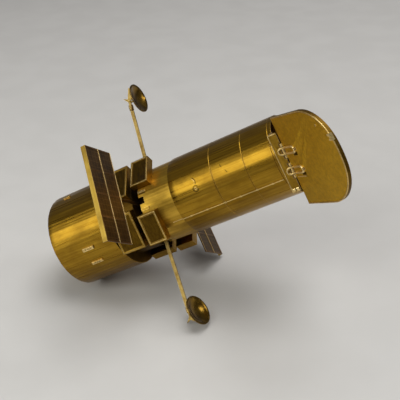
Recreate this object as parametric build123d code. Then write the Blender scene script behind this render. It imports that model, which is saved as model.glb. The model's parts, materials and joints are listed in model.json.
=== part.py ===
from build123d import *
from math import asin, atan2, cos, radians, sin, sqrt
import os

os.makedirs("parts", exist_ok=True)

# Folded sheet-metal model of a space telescope. Every piece is drawn in the telescope's own axes:
# X along the tube from the aft rim to the door, Y along the array masts, Z along the dish booms.
# At the end all pieces are turned together into the attitude in which the model lies on a table.
# Sizes in mm, angles in degrees. Angles round the tube start at +Y and run towards +Z.

sheet = 0.3             # thickness of the folded sheet
running_gap = 0.05      # radial clearance of every turning fit
side_gap = 0.2          # end clearance of every turning fit

# tube, from the aft rim forward
aft_radius = 15.9
aft_length = 22.7
core_radius = 12.4
core_length = 9.2
neck_radius = 6.5
neck_length = 2.8       # open gap between the core and the forward shell
shield_radius = 12.7
shell_length = 11.7     # visible length of the thinner shell behind the light shield
shell_lap = 2.0         # how far the shell slides into the light shield
shell_recess = 1.9      # the shell's end plate behind its aft edge
notch_width = 2.2       # notches in the shell's aft edge, one per mast and boom
shield_length = 36.9
seam_width = 0.25
seam_depth = 0.1
seam_stations = (15.3, 26.4, 35.7)      # from the light shield's aft edge
rail_angle = 49
rail_width = 0.3
rail_height = 0.15
shell_rail_length = 3.8

# bay boxes: a long ring on the core, a short ring on the shell, four faces in each
bay_sides = ((1, 1), (1, -1), (-1, 1), (-1, -1))        # side in Y, side in Z
bay_turn = 24           # of a face, from the Y axis towards the boom
bay_face = 14.8         # from the tube's axis to the flat face
bay_depth = 2.9
bay_border = 0.8
bay_recess = 0.12
bay_gap = 0.4           # from the aft shroud to the long boxes
core_bay_edges = (-3.6, 8.9)            # across the face, towards the boom
shell_bay_edges = (-1.0, 9.2)
shell_bay_back = 1.2                    # overhang behind the shell's aft edge
shell_bay_length = 6.6
foot_tab_angle = 13.5
foot_tab_length = 3.0
foot_tab_width = 1.0
foot_tab_height = 0.25

# fold-over tabs on the aft shroud: (start, angle, length)
tab_places = ((10.4, 33, 4.4), (10.4, 53, 4.4), (10.4, 213, 4.4), (10.4, 233, 4.4), (5.0, -49, 2.6))
tab_width = 1.1
tab_height = 0.45

# array masts and arrays
mast_radius = 0.5
mast_foot_width = 1.3
mast_foot_height = 1.2
collar_length = 0.6
array_inner = 21.9              # from the tube's axis to the array's near edge
array_width = 13.0
array_length = 30.6
array_sheet = 0.4
array_rib = 0.5
array_rows = 4
array_columns = 2
cell_depth = 0.25
cell_sheet = 0.15
cell_gap = 0.02
edge_strip = 1.7
sleeve_wall = 0.3
sleeve_length = 2.0
sleeve_count = 3
near_array_turn = 1.4           # lower end forward
far_array_turn = 10

# booms: (side in Z, lean forward, lean to +Y, dish turn, dish tilt outwards, arm reach)
boom_table = (
    (-1, 2.8, 8.9, 0, 4.0, 4.9),
    (1, 2.8, -4.1, 10.0, -9.5, 2.2),
)
boom_width = 1.2
boom_thickness = 0.5
boom_base = 11.0                # height of the booms' reference point above the tube's axis
boom_length = 23.6              # from the reference point
boom_foot_height = 1.2
boom_foot_width = 2.0
pivot_radius = 0.35
pivot_length = 1.5
barrel_wall = 0.35
barrel_length = 2.0
bracket_sheet = 0.5
hub_distance = 0.9              # from the barrel's end to the dish's support
spur_out = 2.0
spur_back = 2.1
support_radius = 0.35
dish_radius = 5.08
dish_brim = 0.65
dish_depth = 1.5
dish_standoff = 2.2             # boom axis to the dish's back
boss_radius = 0.9
boss_height = 0.2

# door and its hinge
hinge_angle = 27                # round the tube
hinge_height = 13.9             # hinge axis above the tube's axis
hinge_reach = 3.05              # hinge axis ahead of the light shield's front rim
plate_thickness = 0.4
bracket_half_length = 9.25
bracket_edge = 0.3              # bracket's front edge behind the hinge axis
pin_radius = 0.35
knuckle_radius = 0.7
loop_places = (-3.45, 2.75)     # along the hinge, from its middle
loop_width = 2.4
loop_back = 2.0                 # bracket's half loop behind the hinge axis
loop_front = 6.2                # door's half loop ahead of the hinge axis
loop_start = 0.85
loop_bar = 0.5
loop_lift = 0.4                 # loop's top above the plate
loop_foot_width = 0.9
loop_foot_reach = 6.9
knuckle_length = 0.9
notch_reach = 1.1               # into the door, for the bracket's knuckle
slot_start = 4.3                # slot in the door beside each loop's front end
slot_length = 2.1
slot_width = 1.0
door_half_width = 13.75
door_length = 26.6              # hinge axis to the far edge
door_edge = 0.5                 # hinge axis to the door's straight edge
door_end_radius = 25.0
door_corner_radius = 12.2
door_flange = 1.1
flange_start = 2.0
door_open = 44.6                # door plane from the tube's forward direction

shell_radius = shield_radius - sheet
core_end = aft_length + core_length
neck_end = core_end + neck_length
shell_end = neck_end + shell_length
shield_end = shell_end + shield_length
mast_x = core_end + 1.2
boom_x = neck_end - 0.7


def ring(start, end, outer, inner):
    """Straight tube round the X axis."""
    return extrude(Plane.YZ.offset(start) * (Circle(outer) - Circle(inner)), end - start)


def disc(start, end, radius):
    return extrude(Plane.YZ.offset(start) * Circle(radius), end - start)


def radial_plane(x, angle, height):
    """Plane that faces away from the tube: its x runs forward, its z points outwards."""
    out = (0, cos(radians(angle)), sin(radians(angle)))
    return Plane(origin=(x, height * out[1], height * out[2]), x_dir=(1, 0, 0), z_dir=out)


# ---- tube -------------------------------------------------------------------------------

aft_shroud = ring(0, aft_length, aft_radius, aft_radius - sheet)
tab_side = (Align.MIN, Align.CENTER, Align.MIN)
for tab_start, tab_angle, tab_length in tab_places:
    place = radial_plane(tab_start, tab_angle, aft_radius - sheet / 2)
    aft_shroud += place * Box(tab_length, tab_width, tab_height + sheet / 2, align=tab_side)

aft_plate = disc(0, sheet, aft_radius - sheet)
shoulder_plate = ring(aft_length - sheet, aft_length, aft_radius - sheet, core_radius)
core = ring(aft_length - 2.0, core_end, core_radius, core_radius - sheet)
core_plate = ring(core_end - sheet, core_end, core_radius - sheet, neck_radius)
plate_x = neck_end + shell_recess
neck = ring(core_end - 2.0, plate_x, neck_radius, neck_radius - sheet)
shell_plate = disc(plate_x, plate_x + sheet, shell_radius - sheet)


def rail(start, end, radius):
    """Thin raised line along the tube."""
    place = radial_plane(start, rail_angle, radius - sheet / 2)
    return place * Box(end - start, rail_width, rail_height + sheet / 2, align=tab_side)


forward_shell = ring(neck_end, shell_end + shell_lap, shell_radius, shell_radius - sheet)
forward_shell += rail(shell_end - shell_rail_length, shell_end, shell_radius)
for notch_angle in (0, 90):
    notch_plane = radial_plane(neck_end, notch_angle, 0)
    forward_shell -= notch_plane * Box(2 * shell_recess, notch_width, 3 * shield_radius)
for tab_angle in (foot_tab_angle, -foot_tab_angle, 180 - foot_tab_angle, 180 + foot_tab_angle):
    place = radial_plane(neck_end, tab_angle, shell_radius - sheet / 2)
    forward_shell += place * Box(foot_tab_length, foot_tab_width, foot_tab_height + sheet / 2, align=tab_side)

light_shield = ring(shell_end, shield_end, shield_radius, shell_radius)
for station in seam_stations:
    seam_start = shell_end + station - seam_width / 2
    groove = ring(seam_start, seam_start + seam_width, shield_radius + 1, shield_radius - seam_depth)
    light_shield -= groove
light_shield += rail(shell_end, shell_end + seam_stations[-1] - seam_width, shield_radius)

# ---- bay boxes --------------------------------------------------------------------------


def bay_box(start, length, edges, seat_radius, sides):
    """Shallow folded box with a bordered flat face, cut open where it sits on the tube."""
    side_y, side_z = sides
    angle = bay_turn if side_y > 0 else 180 - bay_turn
    place = radial_plane(start + length / 2, angle * side_z, bay_face)
    middle = -side_y * side_z * (edges[0] + edges[1]) / 2
    width = edges[1] - edges[0]
    top = (Align.CENTER, Align.CENTER, Align.MAX)
    box = place * Pos(0, middle, 0) * Box(length, width, bay_depth, align=top)
    inside = bay_depth - bay_recess - 2 * sheet
    hollow = Box(length - 2 * sheet, width - 2 * sheet, inside, align=top)
    box -= place * Pos(0, middle, -sheet - bay_recess) * hollow
    panel = Box(length - 2 * bay_border, width - 2 * bay_border, bay_recess, align=top)
    box -= place * Pos(0, middle, 0) * panel
    return box - disc(start - 1, start + length + 1, seat_radius)


core_bay_start = aft_length + bay_gap
core_bays = Compound([
    bay_box(core_bay_start, core_end - core_bay_start, core_bay_edges, core_radius, sides)
    for sides in bay_sides
])
shell_bays = Compound([
    bay_box(neck_end - shell_bay_back, shell_bay_length, shell_bay_edges, shell_radius, sides)
    for sides in bay_sides
])

# ---- solar arrays -----------------------------------------------------------------------

array_outer = array_inner + array_width
sleeve_bore = mast_radius + running_gap
sleeve_radius = sleeve_bore + sleeve_wall
array_back = mast_x + sleeve_radius - 0.1
array_face = array_back + array_sheet


def mast(side):
    """Round mast from the neck, with a square foot and a stop collar."""
    start = neck_radius - 0.4
    end = array_outer - sheet - side_gap
    foot_height = neck_radius + mast_foot_height - start
    plane = Plane(origin=(mast_x, side * start, 0), x_dir=(1, 0, 0), z_dir=(0, side, 0))
    body = extrude(plane * Circle(mast_radius), end - start)
    body += plane * Box(mast_foot_width, mast_foot_width, foot_height,
                        align=(Align.CENTER, Align.CENTER, Align.MIN))
    collar_start = array_inner - side_gap - collar_length - start
    body += extrude(plane.offset(collar_start) * Circle(sleeve_radius), collar_length)
    return body - disc(0, plate_x, neck_radius)


masts = Compound([mast(1), mast(-1)])

cell_pitch_y = (array_width - array_rib) / array_columns
cell_pitch_z = (array_length - array_rib) / array_rows
cell_size_y = cell_pitch_y - array_rib
cell_size_z = cell_pitch_z - array_rib
cell_places = []
for column in range(array_columns):
    for row in range(array_rows):
        cell_y = array_inner + array_rib + cell_size_y / 2 + column * cell_pitch_y
        cell_z = (row - (array_rows - 1) / 2) * cell_pitch_z
        cell_places.append((cell_y, cell_z))


def array_frame(side):
    """Panel with pockets for the cells, an edge strip and sleeves that turn on the mast."""
    mid_y = side * (array_inner + array_width / 2)
    low_x = (Align.MIN, Align.CENTER, Align.CENTER)
    frame = Pos(array_back, mid_y, 0) * Box(array_sheet, array_width, array_length, align=low_x)
    for cell_y, cell_z in cell_places:
        pocket = Box(cell_depth, cell_size_y, cell_size_z, align=low_x)
        frame -= Pos(array_face - cell_depth, side * cell_y, cell_z) * pocket
    strip_y = side * (array_outer - sheet / 2)
    frame += Pos(array_face - edge_strip, strip_y, 0) * Box(edge_strip, sheet, array_length, align=low_x)
    span = array_width - 2 * sheet - sleeve_length - 1.0
    for index in range(sleeve_count):
        sleeve_start = array_inner + 0.4 + index * span / (sleeve_count - 1)
        plane = Plane(origin=(mast_x, side * sleeve_start, 0), z_dir=(0, side, 0))
        frame += extrude(plane * Circle(sleeve_radius), sleeve_length)
    bore_plane = Plane(origin=(mast_x, side * (array_inner - 1), 0), z_dir=(0, side, 0))
    return frame - extrude(bore_plane * Circle(sleeve_bore), array_width + 1 - sheet)


def array_cells(side):
    low_x = (Align.MIN, Align.CENTER, Align.CENTER)
    cell = Box(cell_sheet, cell_size_y - 2 * cell_gap, cell_size_z - 2 * cell_gap, align=low_x)
    floor = array_face - cell_depth
    return Compound([Pos(floor, side * y, z) * cell for y, z in cell_places])


near_turn = Pos(mast_x, 0, 0) * Rot(0, near_array_turn, 0) * Pos(-mast_x, 0, 0)
far_turn = Pos(mast_x, 0, 0) * Rot(0, far_array_turn, 0) * Pos(-mast_x, 0, 0)

# ---- booms, yokes and dishes ------------------------------------------------------------

barrel_radius = pivot_radius + running_gap + barrel_wall
hub_height = boom_length + side_gap + barrel_length + hub_distance      # along the boom


def boom_plane(side, lean_forward, lean_side):
    """Plane at a boom's reference point: its z runs out along the boom, its x points forward."""
    along = Vector(sin(radians(lean_forward)), sin(radians(lean_side)), side).normalized()
    ahead = (Vector(1, 0, 0) - along * along.X).normalized()
    return Plane(origin=(boom_x, 0, side * boom_base), x_dir=ahead, z_dir=along)


def boom(plane):
    """Flat strip boom on a foot, with the yoke's pivot at its tip."""
    low = (Align.CENTER, Align.CENTER, Align.MIN)
    sunk = boom_base - neck_radius + 0.6
    body = plane.offset(-sunk) * Box(boom_width, boom_thickness, boom_length + sunk, align=low)
    body += plane.offset(-sunk) * Box(boom_width, boom_foot_width, boom_foot_height + 0.6, align=low)
    body += extrude(plane.offset(boom_length) * Circle(pivot_radius), side_gap + pivot_length)
    return body - disc(0, plate_x, neck_radius)


def yoke(place, tilt, arm_reach):
    """Barrel on the boom's pivot with a flat bracket: an arm, a spur and the dish's support."""
    start = boom_length + side_gap
    level = Plane.XY.offset(start)
    body = extrude(level * Circle(barrel_radius), barrel_length)
    half = barrel_radius * 0.6
    spur_tip = (-spur_back, spur_out)
    outline = Polygon(
        (-half, -hub_distance - 0.4), (half, -hub_distance - 0.4), (half, 0.8),
        (1.3, arm_reach - 0.3), (1.0, arm_reach), (-0.3, 1.3), spur_tip, (-half, 0.3), align=None)
    bracket_plane = Plane(origin=(0, bracket_sheet / 2, hub_height), x_dir=(1, 0, 0), z_dir=(0, -1, 0))
    body += extrude(bracket_plane * outline, bracket_sheet)
    support = Pos(0, 0, hub_height) * Rot(0, -tilt, 0) * Rot(0, 90, 0) * Cylinder(
        support_radius, dish_standoff, align=(Align.CENTER, Align.CENTER, Align.MIN))
    body += support
    body -= extrude(level * Circle(pivot_radius + running_gap), pivot_length + side_gap)
    return place * body


bowl_radius = dish_radius - dish_brim
bowl_back = boss_height
inner_curve = (bowl_radius ** 2 + (dish_depth - sheet) ** 2) / (2 * (dish_depth - sheet))


def dish(place, tilt):
    """Shallow bowl with a flat brim and a boss behind, open side forward."""
    half_angle = asin(bowl_radius / inner_curve) / 2
    middle = (bowl_back + sheet + inner_curve * (1 - cos(half_angle)), inner_curve * sin(half_angle))
    front = bowl_back + dish_depth
    outline = Wire([
        Line((0, 0), (0, boss_radius)),
        Line((0, boss_radius), (bowl_back, boss_radius)),
        Line((bowl_back, boss_radius), (front - sheet * 1.6, bowl_radius)),
        Line((front - sheet * 1.6, bowl_radius), (front - sheet, dish_radius)),
        Line((front - sheet, dish_radius), (front, dish_radius)),
        Line((front, dish_radius), (front, bowl_radius)),
        ThreePointArc((front, bowl_radius), middle, (bowl_back + sheet, 0)),
        Line((bowl_back + sheet, 0), (0, 0)),
    ])
    bowl = revolve(make_face(outline), Axis.X, 360)
    tilted = Pos(0, 0, hub_height) * Rot(0, -tilt, 0) * Pos(dish_standoff, 0, 0)
    return place * tilted * bowl


booms = []
yokes = []
dishes = []
boom_places = []
for boom_side, lean_forward, lean_side, dish_turn, dish_tilt, arm_reach in boom_table:
    root = boom_plane(boom_side, lean_forward, lean_side)
    place = root.location * Rot(0, 0, dish_turn)
    booms.append(boom(root))
    yokes.append(yoke(place, dish_tilt, arm_reach))
    dishes.append(dish(place, dish_tilt))
    boom_places.append(place)

# ---- door and hinge ---------------------------------------------------------------------

hinge_x = shield_end + hinge_reach
hinge_out = (0, cos(radians(hinge_angle)), sin(radians(hinge_angle)))
hinge_along = (0, -sin(radians(hinge_angle)), cos(radians(hinge_angle)))
hinge_point = (hinge_x, hinge_height * hinge_out[1], hinge_height * hinge_out[2])
hinge_frame = Plane(origin=hinge_point, x_dir=(1, 0, 0), z_dir=hinge_along)
# In the hinge frame X runs forward, Y points away from the tube and Z lies along the pins.

pin_half = loop_width / 2 + side_gap + knuckle_length
half_plate = plate_thickness / 2


def along_pin(radius, start, end):
    return extrude(Plane.XY.offset(start) * Circle(radius), end - start)


def half_loop(start, end, offset):
    """Oval ring that lies on a plate's outer face, from the hinge axis to one rounded end."""
    length = 2 * abs(end)
    plane = Plane(origin=(0, half_plate + loop_lift, offset), x_dir=(1, 0, 0), z_dir=(0, -1, 0))
    outer = SlotOverall(length, loop_width)
    inner = SlotOverall(length - 2 * loop_bar, loop_width - 2 * loop_bar)
    keep = Pos((start + end) / 2, half_plate + loop_lift / 2, offset) * Box(
        abs(end - start), loop_lift, loop_width)
    return extrude(plane * (outer - inner), loop_lift) & keep


def hinge_bracket():
    """Flat plate ahead of the rim on an upright web, with a knuckle and half a loop per pin."""
    low_x = (Align.MIN, Align.CENTER, Align.CENTER)
    reach = hinge_reach - bracket_edge
    body = Pos(-hinge_reach, 0, 0) * Box(reach, plate_thickness, 2 * bracket_half_length, align=low_x)
    for offset in loop_places:
        clear = Box(reach, 2, 2 * (pin_half + side_gap))
        body -= Pos(reach / 2 - knuckle_radius - side_gap, 0, offset) * clear
    web = Box(sheet, hinge_height, 2 * bracket_half_length, align=(Align.MIN, Align.MAX, Align.CENTER))
    tube_axis = Pos(-hinge_reach, -hinge_height, 0) * Rot(0, 90, 0)
    body += Pos(-hinge_reach, 0, 0) * web - tube_axis * Cylinder(shell_radius, 2)
    for offset in loop_places:
        body += half_loop(0, -loop_back, offset)
        body += along_pin(knuckle_radius, offset - loop_width / 2, offset + loop_width / 2)
    for offset in loop_places:
        body -= along_pin(pin_radius, offset - pin_half, offset + pin_half)
    return body


def door_outline(inset):
    """D shape: straight hinge edge and sides, rounded corners and a bowed far edge."""
    half = door_half_width - inset
    far = door_length - inset
    end_radius = door_end_radius - inset
    corner = door_corner_radius - inset
    end_centre = far - end_radius
    corner_x = end_centre + sqrt((end_radius - corner) ** 2 - (half - corner) ** 2)
    lean = atan2(half - corner, corner_x - end_centre)
    mid_lean = (lean + radians(90)) / 2
    join = (corner_x + corner * cos(lean), half - corner + corner * sin(lean))
    bow = (corner_x + corner * cos(mid_lean), half - corner + corner * sin(mid_lean))
    edges = [
        Line((door_edge, -half), (corner_x, -half)),
        ThreePointArc((corner_x, -half), (bow[0], -bow[1]), (join[0], -join[1])),
        ThreePointArc((join[0], -join[1]), (far, 0), join),
        ThreePointArc(join, bow, (corner_x, half)),
        Line((corner_x, half), (door_edge, half)),
        Line((door_edge, half), (door_edge, -half)),
    ]
    return make_face(Wire(edges))


def door_leaf():
    """Flanged D-shaped lid: per pin a notch, two knuckles, half a loop and a slot beside it."""
    top_plane = Plane(origin=(0, half_plate, 0), x_dir=(1, 0, 0), z_dir=(0, -1, 0))
    leaf = extrude(top_plane * door_outline(0), plate_thickness)
    rim = extrude(top_plane * (door_outline(0) - door_outline(sheet)), door_flange)
    leaf += rim - Box(2 * flange_start, 12, 4 * door_half_width)
    low_x = (Align.MIN, Align.CENTER, Align.CENTER)
    for offset in loop_places:
        leaf -= Pos(0, 0, offset) * Box(notch_reach, 4, loop_width + 2 * side_gap, align=low_x)
        slot_middle = offset + loop_width / 2 + slot_width / 2 - loop_bar / 2
        leaf -= Pos(slot_start, 0, slot_middle) * Box(slot_length, 4, slot_width, align=low_x)
        for side in (1, -1):
            middle = offset + side * (loop_width / 2 + side_gap + knuckle_length / 2)
            leaf += along_pin(knuckle_radius, middle - knuckle_length / 2, middle + knuckle_length / 2)
            tongue = Box(door_edge + 0.6, plate_thickness, knuckle_length, align=low_x)
            leaf += Pos(0, 0, middle) * tongue
        leaf += half_loop(loop_start, loop_front, offset)
        foot = Box(loop_foot_reach - loop_front + loop_bar, loop_lift, loop_foot_width, align=low_x)
        leaf += Pos(loop_front - loop_bar, half_plate + loop_lift / 2, offset) * foot
    for offset in loop_places:
        leaf -= along_pin(pin_radius + running_gap, offset - pin_half - 0.5, offset + pin_half + 0.5)
    return leaf


hinge_pins = Compound([
    hinge_frame * along_pin(pin_radius, offset - pin_half, offset + pin_half)
    for offset in loop_places
])
door = hinge_frame * (Rot(0, 0, door_open) * door_leaf())

# ---- resting attitude -------------------------------------------------------------------
# The model lies on three points: the aft rim, the back corner of the far array's edge strip
# and the lowest point of the lower dish and its bracket. The table passes through all three.


def lowest_on_rim(centre, axis, radius, up):
    down = (axis * up.dot(axis) - up).normalized()
    return centre + down * radius


def moved_point(place, x, y, z):
    return (place * Pos(x, y, z)).position


lower_tilt = boom_table[1][4]
dish_place = boom_places[1] * Pos(0, 0, hub_height) * Rot(0, -lower_tilt, 0)
rim_centre = moved_point(dish_place, dish_standoff + boss_height + dish_depth, 0, 0)
dish_axis = (rim_centre - moved_point(dish_place, 0, 0, 0)).normalized()
bracket_tips = [
    moved_point(boom_places[1], x, side * bracket_sheet / 2, hub_height + z)
    for x, z in ((-spur_back, spur_out), (1.0, boom_table[1][5]))
    for side in (1, -1)
]
array_corner = moved_point(far_turn, array_face - edge_strip, -array_outer, array_length / 2)
up = Vector(0.47, 0.55, -0.69).normalized()
for step in range(60):
    on_aft = lowest_on_rim(Vector(0, 0, 0), Vector(1, 0, 0), aft_radius, up)
    lower_points = bracket_tips + [lowest_on_rim(rim_centre, dish_axis, dish_radius, up)]
    on_dish = min(lower_points, key=lambda point: point.dot(up))
    normal = (on_dish - on_aft).cross(array_corner - on_aft).normalized()
    up = normal if normal.dot(up) > 0 else normal * -1

table_x = (Vector(1, 0, 0) - up * up.X).normalized()
table_y = up.cross(table_x)
attitude = Plane(origin=(0, 0, 0), x_dir=(table_x.X, table_y.X, up.X),
                 z_dir=(table_x.Z, table_y.Z, up.Z)).location

pieces = {
    "aft_shroud": aft_shroud,
    "aft_plate": aft_plate,
    "shoulder_plate": shoulder_plate,
    "core": core,
    "core_plate": core_plate,
    "neck": neck,
    "shell_plate": shell_plate,
    "forward_shell": forward_shell,
    "light_shield": light_shield,
    "core_bays": core_bays,
    "shell_bays": shell_bays,
    "masts": masts,
    "booms": Compound(booms),
    "hinge_bracket": hinge_frame * hinge_bracket(),
    "hinge_pins": hinge_pins,
    "door": door,
    "array_near": near_turn * array_frame(1),
    "cells_near": near_turn * array_cells(1),
    "array_far": far_turn * array_frame(-1),
    "cells_far": far_turn * array_cells(-1),
    "yoke_upper": yokes[0],
    "dish_upper": dishes[0],
    "yoke_lower": yokes[1],
    "dish_lower": dishes[1],
}

laid = {name: attitude * shape for name, shape in pieces.items()}
box = Compound(list(laid.values())).bounding_box()
shift = Pos(-(box.min.X + box.max.X) / 2, -(box.min.Y + box.max.Y) / 2, -box.min.Z)
for name, shape in laid.items():
    export_step(shift * shape, "parts/" + name + ".step")
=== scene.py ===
import json
import math
import random

import bmesh
import bpy
from mathutils import Matrix, Vector

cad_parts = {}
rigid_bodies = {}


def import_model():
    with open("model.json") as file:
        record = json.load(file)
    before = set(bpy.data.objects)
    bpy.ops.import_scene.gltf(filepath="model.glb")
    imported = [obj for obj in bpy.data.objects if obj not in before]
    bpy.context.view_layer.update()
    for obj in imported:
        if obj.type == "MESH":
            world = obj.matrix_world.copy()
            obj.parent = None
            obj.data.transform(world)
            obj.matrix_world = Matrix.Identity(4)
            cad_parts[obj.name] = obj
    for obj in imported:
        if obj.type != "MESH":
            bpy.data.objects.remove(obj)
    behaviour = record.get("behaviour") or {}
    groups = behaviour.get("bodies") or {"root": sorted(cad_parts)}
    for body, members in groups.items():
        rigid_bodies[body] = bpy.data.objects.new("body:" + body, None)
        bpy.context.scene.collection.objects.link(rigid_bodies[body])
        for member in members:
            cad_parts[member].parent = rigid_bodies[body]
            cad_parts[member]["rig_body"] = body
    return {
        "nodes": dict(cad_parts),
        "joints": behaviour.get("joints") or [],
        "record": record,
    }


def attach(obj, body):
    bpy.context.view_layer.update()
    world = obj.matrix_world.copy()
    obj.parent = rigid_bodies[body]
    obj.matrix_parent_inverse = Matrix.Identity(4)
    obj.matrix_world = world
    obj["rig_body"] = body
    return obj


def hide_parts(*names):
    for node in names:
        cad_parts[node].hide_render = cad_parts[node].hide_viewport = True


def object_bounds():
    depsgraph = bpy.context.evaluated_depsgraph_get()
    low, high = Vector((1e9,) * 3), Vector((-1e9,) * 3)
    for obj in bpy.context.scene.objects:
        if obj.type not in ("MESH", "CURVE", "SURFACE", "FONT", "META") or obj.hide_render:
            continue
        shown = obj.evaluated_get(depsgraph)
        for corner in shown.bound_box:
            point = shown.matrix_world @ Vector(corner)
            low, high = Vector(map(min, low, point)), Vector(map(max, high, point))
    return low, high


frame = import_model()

cad_low, cad_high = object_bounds()

# Lengths are in mm and angles in degrees, except where a comment or docstring says otherwise.

# ---- the telescope's own axes: X from the aft rim to the door, Y along the masts, Z the booms ----

MM = 0.001
AHEAD = Vector((1, 0, 0))
HINGE_ANGLE = 27  # where the door's hinge is, round the tube
MAST_X = 33.1
ARRAY_INNER = 21.9

joints = {joint["name"]: joint for joint in frame["joints"]}
tube_y = Vector(joints["array_near_turn"]["axis"]).normalized()
hinge_line = Vector(joints["door_hinge"]["axis"]).normalized()
tube_z = (hinge_line + tube_y * math.sin(math.radians(HINGE_ANGLE))).normalized()
tube_x = tube_y.cross(tube_z).normalized()
mast_point = Vector(joints["array_near_turn"]["pos_m"])
origin = mast_point - (tube_x * MAST_X + tube_y * ARRAY_INNER) * MM
turn = Matrix((tube_x, tube_y, tube_z)).transposed()
TUBE = Matrix.Translation(origin) @ turn.to_4x4() @ Matrix.Scale(MM, 4)
TO_TUBE = TUBE.inverted()


def world(x, y, z):
    return TUBE @ Vector((x, y, z))


def around(x, radius, angle):
    """Point beside the tube; the angle starts at +Y and runs towards +Z."""
    a = math.radians(angle)
    return Vector((x, radius * math.cos(a), radius * math.sin(a)))


def on_plane(start, first, second, out):
    """Gives a function that turns a place (a, b, height) on a flat face into a telescope point."""

    def place(a, b, height):
        return start + first * a + second * b + out * height

    return place


# ---- camera: its place and axes are the photograph's, in the telescope's axes ------------

CAMERA_POINT = (147.197, 207.278, 68.602)
CAMERA_RIGHT = (0.84709053, -0.47375976, 0.24080974)
CAMERA_DOWN = (-0.3396457, -0.13409754, 0.93094503)
CAMERA_AHEAD = (-0.4087523, -0.87038471, -0.27450322)
CAMERA_LENS = 66.02
SENSOR_WIDTH = 36

camera_data = bpy.data.cameras.new("camera")
camera_data.lens = CAMERA_LENS
camera_data.sensor_width = SENSOR_WIDTH
camera_data.clip_start = 0.01
camera_data.clip_end = 20
camera = bpy.data.objects.new("camera", camera_data)
bpy.context.scene.collection.objects.link(camera)
right = turn @ Vector(CAMERA_RIGHT)
above = turn @ Vector(CAMERA_DOWN) * -1
behind = turn @ Vector(CAMERA_AHEAD) * -1
camera_axes = Matrix((right, above, behind)).transposed().to_4x4()
camera.matrix_world = Matrix.Translation(world(*CAMERA_POINT)) @ camera_axes
bpy.context.scene.camera = camera

# ---- materials: colours are linear (r, g, b) --------------------------------------------

MIX_FACTOR, MIX_FIRST, MIX_SECOND, MIX_RESULT = 0, 6, 7, 2  # the Mix node's sockets for colours
EDGE_SAMPLES = 6
SHARP_EDGE, FLAT_FACE = 0.90, 0.995  # dot product of the rounded normal and the true one


class Graph:
    """A principled material with helpers that add nodes and links."""

    def __init__(self, name):
        self.material = bpy.data.materials.new(name)
        self.material.use_nodes = True
        self.tree = self.material.node_tree
        self.shader = self.tree.nodes["Principled BSDF"]

    def add(self, kind, inputs=None, **settings):
        node = self.tree.nodes.new(kind)
        for key, value in settings.items():
            setattr(node, key, value)
        for key, value in (inputs or {}).items():
            if isinstance(value, bpy.types.NodeSocket):
                self.tree.links.new(value, node.inputs[key])
            else:
                node.inputs[key].default_value = value
        return node

    def math(self, operation, a, b=0.0):
        return self.add("ShaderNodeMath", {0: a, 1: b}, operation=operation).outputs[0]

    def coordinates(self, stretch):
        """Object coordinates in the telescope's axes, in mm, times a stretch per axis."""
        if not hasattr(self, "base_coordinates"):
            source = self.add("ShaderNodeTexCoord").outputs["Object"]
            place = self.add("ShaderNodeMapping", {"Vector": source}, vector_type="POINT")
            place.inputs["Scale"].default_value = (1 / MM, 1 / MM, 1 / MM)
            place.inputs["Rotation"].default_value = turn.transposed().to_euler("XYZ")
            place.inputs["Location"].default_value = TO_TUBE.translation
            self.base_coordinates = place.outputs[0]
        scaled = self.add("ShaderNodeVectorMath", {0: self.base_coordinates, 1: stretch},
                          operation="MULTIPLY")
        return scaled.outputs[0]

    def noise(self, stretch, scale, detail, roughness):
        node = self.add("ShaderNodeTexNoise", {
            "Vector": self.coordinates(stretch), "Scale": scale,
            "Detail": detail, "Roughness": roughness})
        return node.outputs["Fac"]

    def span(self, value, low, high, out_low=0.0, out_high=1.0):
        """Maps low..high to out_low..out_high and clamps what lies outside."""
        node = self.add("ShaderNodeMapRange", {
            "Value": value, "From Min": low, "From Max": high,
            "To Min": out_low, "To Max": out_high}, clamp=True)
        return node.outputs[0]

    def blend(self, factor, first, second):
        """Mixes two colours, each a socket or an (r, g, b)."""
        inputs = {MIX_FACTOR: factor}
        for socket, colour in ((MIX_FIRST, first), (MIX_SECOND, second)):
            inputs[socket] = (*colour, 1) if isinstance(colour, tuple) else colour
        return self.add("ShaderNodeMix", inputs, data_type="RGBA").outputs[MIX_RESULT]

    def edges(self, radius):
        """1 on sharp edges, 0 on flat faces."""
        rounded = self.add("ShaderNodeBevel", {"Radius": radius * MM}, samples=EDGE_SAMPLES)
        facing = self.add("ShaderNodeNewGeometry").outputs["Normal"]
        dot = self.add("ShaderNodeVectorMath", {0: rounded.outputs[0], 1: facing},
                       operation="DOT_PRODUCT")
        return self.span(dot.outputs["Value"], SHARP_EDGE, FLAT_FACE, 1.0, 0.0)

    def finish(self, colour, roughness, height, bump_strength, bump_distance, metallic=1.0):
        self.shader.inputs["Metallic"].default_value = metallic
        self.tree.links.new(colour, self.shader.inputs["Base Color"])
        self.tree.links.new(roughness, self.shader.inputs["Roughness"])
        bump = self.add("ShaderNodeBump", {
            "Strength": bump_strength, "Distance": bump_distance * MM, "Height": height})
        self.tree.links.new(bump.outputs[0], self.shader.inputs["Normal"])
        return self.material


# noise coordinates are multiplied by these along X, Y and Z: a small number makes long streaks
EVEN = (1, 1, 1)
COARSE = (0.5, 0.5, 0.5)
TUBE_STREAKS = (0.02, 1, 1)
SHORT_STREAKS = (0.05, 1, 1)
BAND_STREAKS = (0.015, 1, 1)
STAIN_STREAKS = (0.6, 1, 1)
MAST_STREAKS = (1, 0.05, 1)
ARRAY_STREAKS = (1, 1, 0.05)
PANEL_STREAKS = (1, 0.4, 0.4)

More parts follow.
